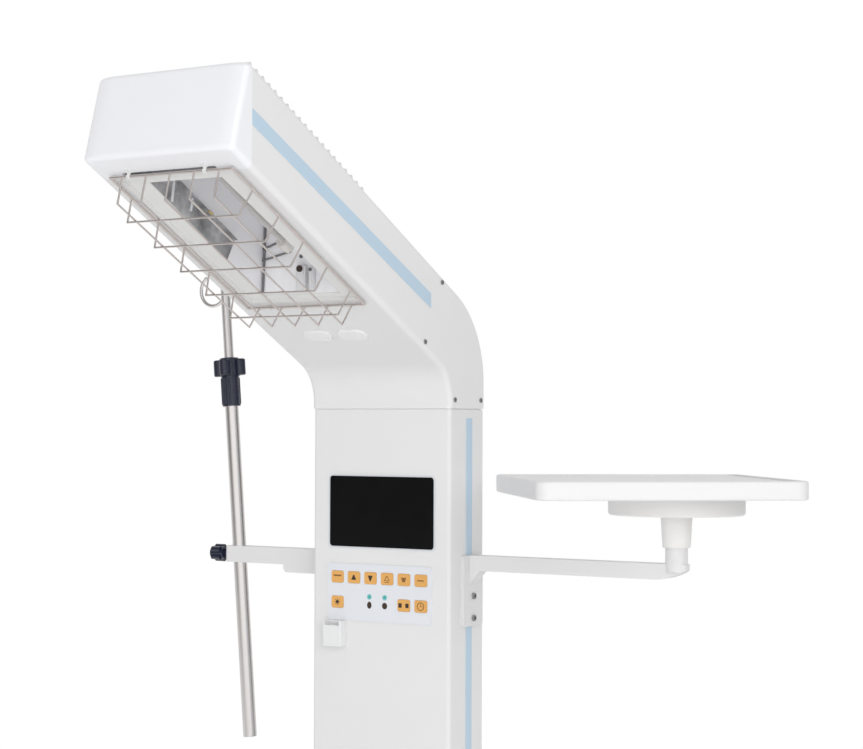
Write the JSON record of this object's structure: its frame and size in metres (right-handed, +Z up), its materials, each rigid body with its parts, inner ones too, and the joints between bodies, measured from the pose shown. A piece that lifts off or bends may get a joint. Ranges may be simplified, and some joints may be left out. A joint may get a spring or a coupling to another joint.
{
  "type": "infant radiant warmer",
  "caption": "Free-standing radiant warmer: inclined heater head on a column, control panel, infusion pole, swivelling shelf and wheeled base.",
  "frame": {"origin": "on the floor, under the middle of the column", "axes": "+X to the right seen from the cot side, +Y to the back, +Z up"},
  "size_m": [1.0248, 0.8301, 1.9082],
  "materials": {
    "arm_white": "powder coat",
    "base_white": "powder coat",
    "bezel_grey": "fine satin",
    "black_plastic": "moulded",
    "board_green": "solder mask",
    "cap_white": "moulded, soft gloss",
    "caster_steel": "zinc plated",
    "ceramic_socket": "unglazed",
    "clip_plastic": "moulded",
    "column_white": "satin powder coat",
    "dark_plastic": "fine grain",
    "display_black": "glossy black window",
    "element_tube": "sintered sheath",
    "frame_white": "painted sheet",
    "guard_wire": "plated wire",
    "hood_white": "smooth powder coat",
    "hub_white": "painted casting",
    "key_orange": "soft matt",
    "led_teal": "clear lens",
    "lens_frosted": "frosted lens",
    "mirror_strip": "polished",
    "overlay_film": "fine matt film",
    "pedal_grey": "moulded",
    "reflector_sheet": "bright rolled sheet",
    "screw_steel": "plain",
    "steel_tube": "polished stainless",
    "stripe_blue": "applied strip",
    "tray_white": "moulded",
    "wheel_grey": "grey rubber tread"
  },
  "bodies": {
    "stand": {"arm_screws": "screw_steel", "base_cover": "cap_white", "base_frame": "base_white", "caster_mounts": "caster_steel", "column_shell": "column_white", "column_stripes": "stripe_blue", "control_board": "board_green", "display_bezel": "bezel_grey", "display_glass": "display_black", "element_sockets": "ceramic_socket", "front_cap": "cap_white", "guard_clips": "frame_white", "head_stripes": "stripe_blue", "heater_frame": "frame_white", "heating_elements": "element_tube", "hood_screws": "screw_steel", "hood_shell": "hood_white", "keypad_leds": "led_teal", "keypad_overlay": "overlay_film", "leg_caps": "dark_plastic", "mains_inlet": "dark_plastic", "oval_lamps": "lens_frosted", "pole_arm": "arm_white", "push_handle": "steel_tube", "rear_cover": "column_white", "reflector_end_plates": "reflector_sheet", "reflector_housing": "reflector_sheet", "seam_spacer": "cap_white", "sensor_clip": "clip_plastic", "shelf_arm": "arm_white", "side_mirrors": "mirror_strip", "vent_grille": "hood_white", "wire_guard": "guard_wire"},
    "key_body_1": {"key_1": "key_orange"},
    "key_body_2": {"key_2": "key_orange"},
    "key_body_3": {"key_3": "key_orange"},
    "key_body_4": {"key_4": "key_orange"},
    "key_body_5": {"key_5": "key_orange"},
    "key_body_6": {"key_6": "key_orange"},
    "key_body_7": {"key_7": "key_orange"},
    "key_body_8": {"key_8": "key_orange"},
    "key_body_9": {"key_9": "key_orange"},
    "mains_switch": {"mains_rocker": "dark_plastic"},
    "knob": {"clamp_knob": "black_plastic"},
    "pole_lower": {"pole_tube": "steel_tube", "collar_body": "black_plastic"},
    "collar": {"collar_nut": "black_plastic"},
    "pole_upper": {"pole_rod": "steel_tube"},
    "shelf": {"shelf_hub": "hub_white", "shelf_tray": "tray_white"},
    "caster_front_left": {"fork_front_left": "caster_steel"},
    "roller_front_left": {"wheel_front_left": "wheel_grey"},
    "caster_front_right": {"fork_front_right": "caster_steel"},
    "roller_front_right": {"wheel_front_right": "wheel_grey"},
    "caster_rear_left": {"fork_rear_left": "caster_steel"},
    "roller_rear_left": {"wheel_rear_left": "wheel_grey"},
    "caster_rear_right": {"fork_rear_right": "caster_steel"},
    "roller_rear_right": {"wheel_rear_right": "wheel_grey"},
    "brake_front_left": {"pedal_front_left": "pedal_grey"},
    "brake_front_right": {"pedal_front_right": "pedal_grey"}
  },
  "joints": [
    {"name": "key_1_press", "type": "slide", "parent": "stand", "child": "key_body_1", "axis": [0, 1, 0], "range_m": [0, 0.0008], "stiffness_N_per_m": 800},
    {"name": "key_2_press", "type": "slide", "parent": "stand", "child": "key_body_2", "axis": [0, 1, 0], "range_m": [0, 0.0008], "stiffness_N_per_m": 800},
    {"name": "key_3_press", "type": "slide", "parent": "stand", "child": "key_body_3", "axis": [0, 1, 0], "range_m": [0, 0.0008], "stiffness_N_per_m": 800},
    {"name": "key_4_press", "type": "slide", "parent": "stand", "child": "key_body_4", "axis": [0, 1, 0], "range_m": [0, 0.0008], "stiffness_N_per_m": 800},
    {"name": "key_5_press", "type": "slide", "parent": "stand", "child": "key_body_5", "axis": [0, 1, 0], "range_m": [0, 0.0008], "stiffness_N_per_m": 800},
    {"name": "key_6_press", "type": "slide", "parent": "stand", "child": "key_body_6", "axis": [0, 1, 0], "range_m": [0, 0.0008], "stiffness_N_per_m": 800},
    {"name": "key_7_press", "type": "slide", "parent": "stand", "child": "key_body_7", "axis": [0, 1, 0], "range_m": [0, 0.0008], "stiffness_N_per_m": 800},
    {"name": "key_8_press", "type": "slide", "parent": "stand", "child": "key_body_8", "axis": [0, 1, 0], "range_m": [0, 0.0008], "stiffness_N_per_m": 800},
    {"name": "key_9_press", "type": "slide", "parent": "stand", "child": "key_body_9", "axis": [0, 1, 0], "range_m": [0, 0.0008], "stiffness_N_per_m": 800},
    {"name": "mains_switch_tilt", "type": "hinge", "parent": "stand", "child": "mains_switch", "pos_m": [0, 0.0435, 0.313], "axis": [1, 0, 0], "range_deg": [-8, 8]},
    {"name": "knob_turn", "type": "hinge", "parent": "stand", "child": "knob", "pos_m": [-0.325, -0.001, 1.254], "axis": [-1, 0, 0], "range_deg": [0, 720]},
    {"name": "pole_height", "type": "slide", "parent": "stand", "child": "pole_lower", "axis": [-0.0767, 0, 0.9971], "range_m": [-0.19, 0.24]},
    {"name": "collar_turn", "type": "hinge", "parent": "pole_lower", "child": "collar", "pos_m": [-0.31395, -0.001, 1.54314], "axis": [-0.0767, 0, 0.9971], "range_deg": [-60, 60]},
    {"name": "rod_extend", "type": "slide", "parent": "pole_lower", "child": "pole_upper", "axis": [-0.0767, 0, 0.9971], "range_m": [-0.075, 0.36]},
    {"name": "shelf_swivel", "type": "hinge", "parent": "stand", "child": "shelf", "pos_m": [0.4495, 0.012, 1.3], "axis": [0, 0, 1], "continuous": true},
    {"name": "swivel_front_left", "type": "hinge", "parent": "stand", "child": "caster_front_left", "pos_m": [-0.27, -0.518, 0.119], "axis": [0, 0, 1], "continuous": true},
    {"name": "roll_front_left", "type": "hinge", "parent": "caster_front_left", "child": "roller_front_left", "pos_m": [-0.27, -0.49, 0.05], "axis": [1, 0, 0], "continuous": true},
    {"name": "brake_press_front_left", "type": "hinge", "parent": "caster_front_left", "child": "brake_front_left", "pos_m": [-0.27, -0.466, 0.1035], "axis": [-1, 0, 0], "range_deg": [0, 12]},
    {"name": "swivel_front_right", "type": "hinge", "parent": "stand", "child": "caster_front_right", "pos_m": [0.27, -0.518, 0.119], "axis": [0, 0, 1], "continuous": true},
    {"name": "roll_front_right", "type": "hinge", "parent": "caster_front_right", "child": "roller_front_right", "pos_m": [0.27, -0.49, 0.05], "axis": [1, 0, 0], "continuous": true},
    {"name": "brake_press_front_right", "type": "hinge", "parent": "caster_front_right", "child": "brake_front_right", "pos_m": [0.27, -0.466, 0.1035], "axis": [-1, 0, 0], "range_deg": [0, 12]},
    {"name": "swivel_rear_left", "type": "hinge", "parent": "stand", "child": "caster_rear_left", "pos_m": [-0.27, 0.188, 0.119], "axis": [0, 0, 1], "continuous": true},
    {"name": "roll_rear_left", "type": "hinge", "parent": "caster_rear_left", "child": "roller_rear_left", "pos_m": [-0.27, 0.216, 0.05], "axis": [1, 0, 0], "continuous": true},
    {"name": "swivel_rear_right", "type": "hinge", "parent": "stand", "child": "caster_rear_right", "pos_m": [0.27, 0.188, 0.119], "axis": [0, 0, 1], "continuous": true},
    {"name": "roll_rear_right", "type": "hinge", "parent": "caster_rear_right", "child": "roller_rear_right", "pos_m": [0.27, 0.216, 0.05], "axis": [1, 0, 0], "continuous": true}
  ]
}
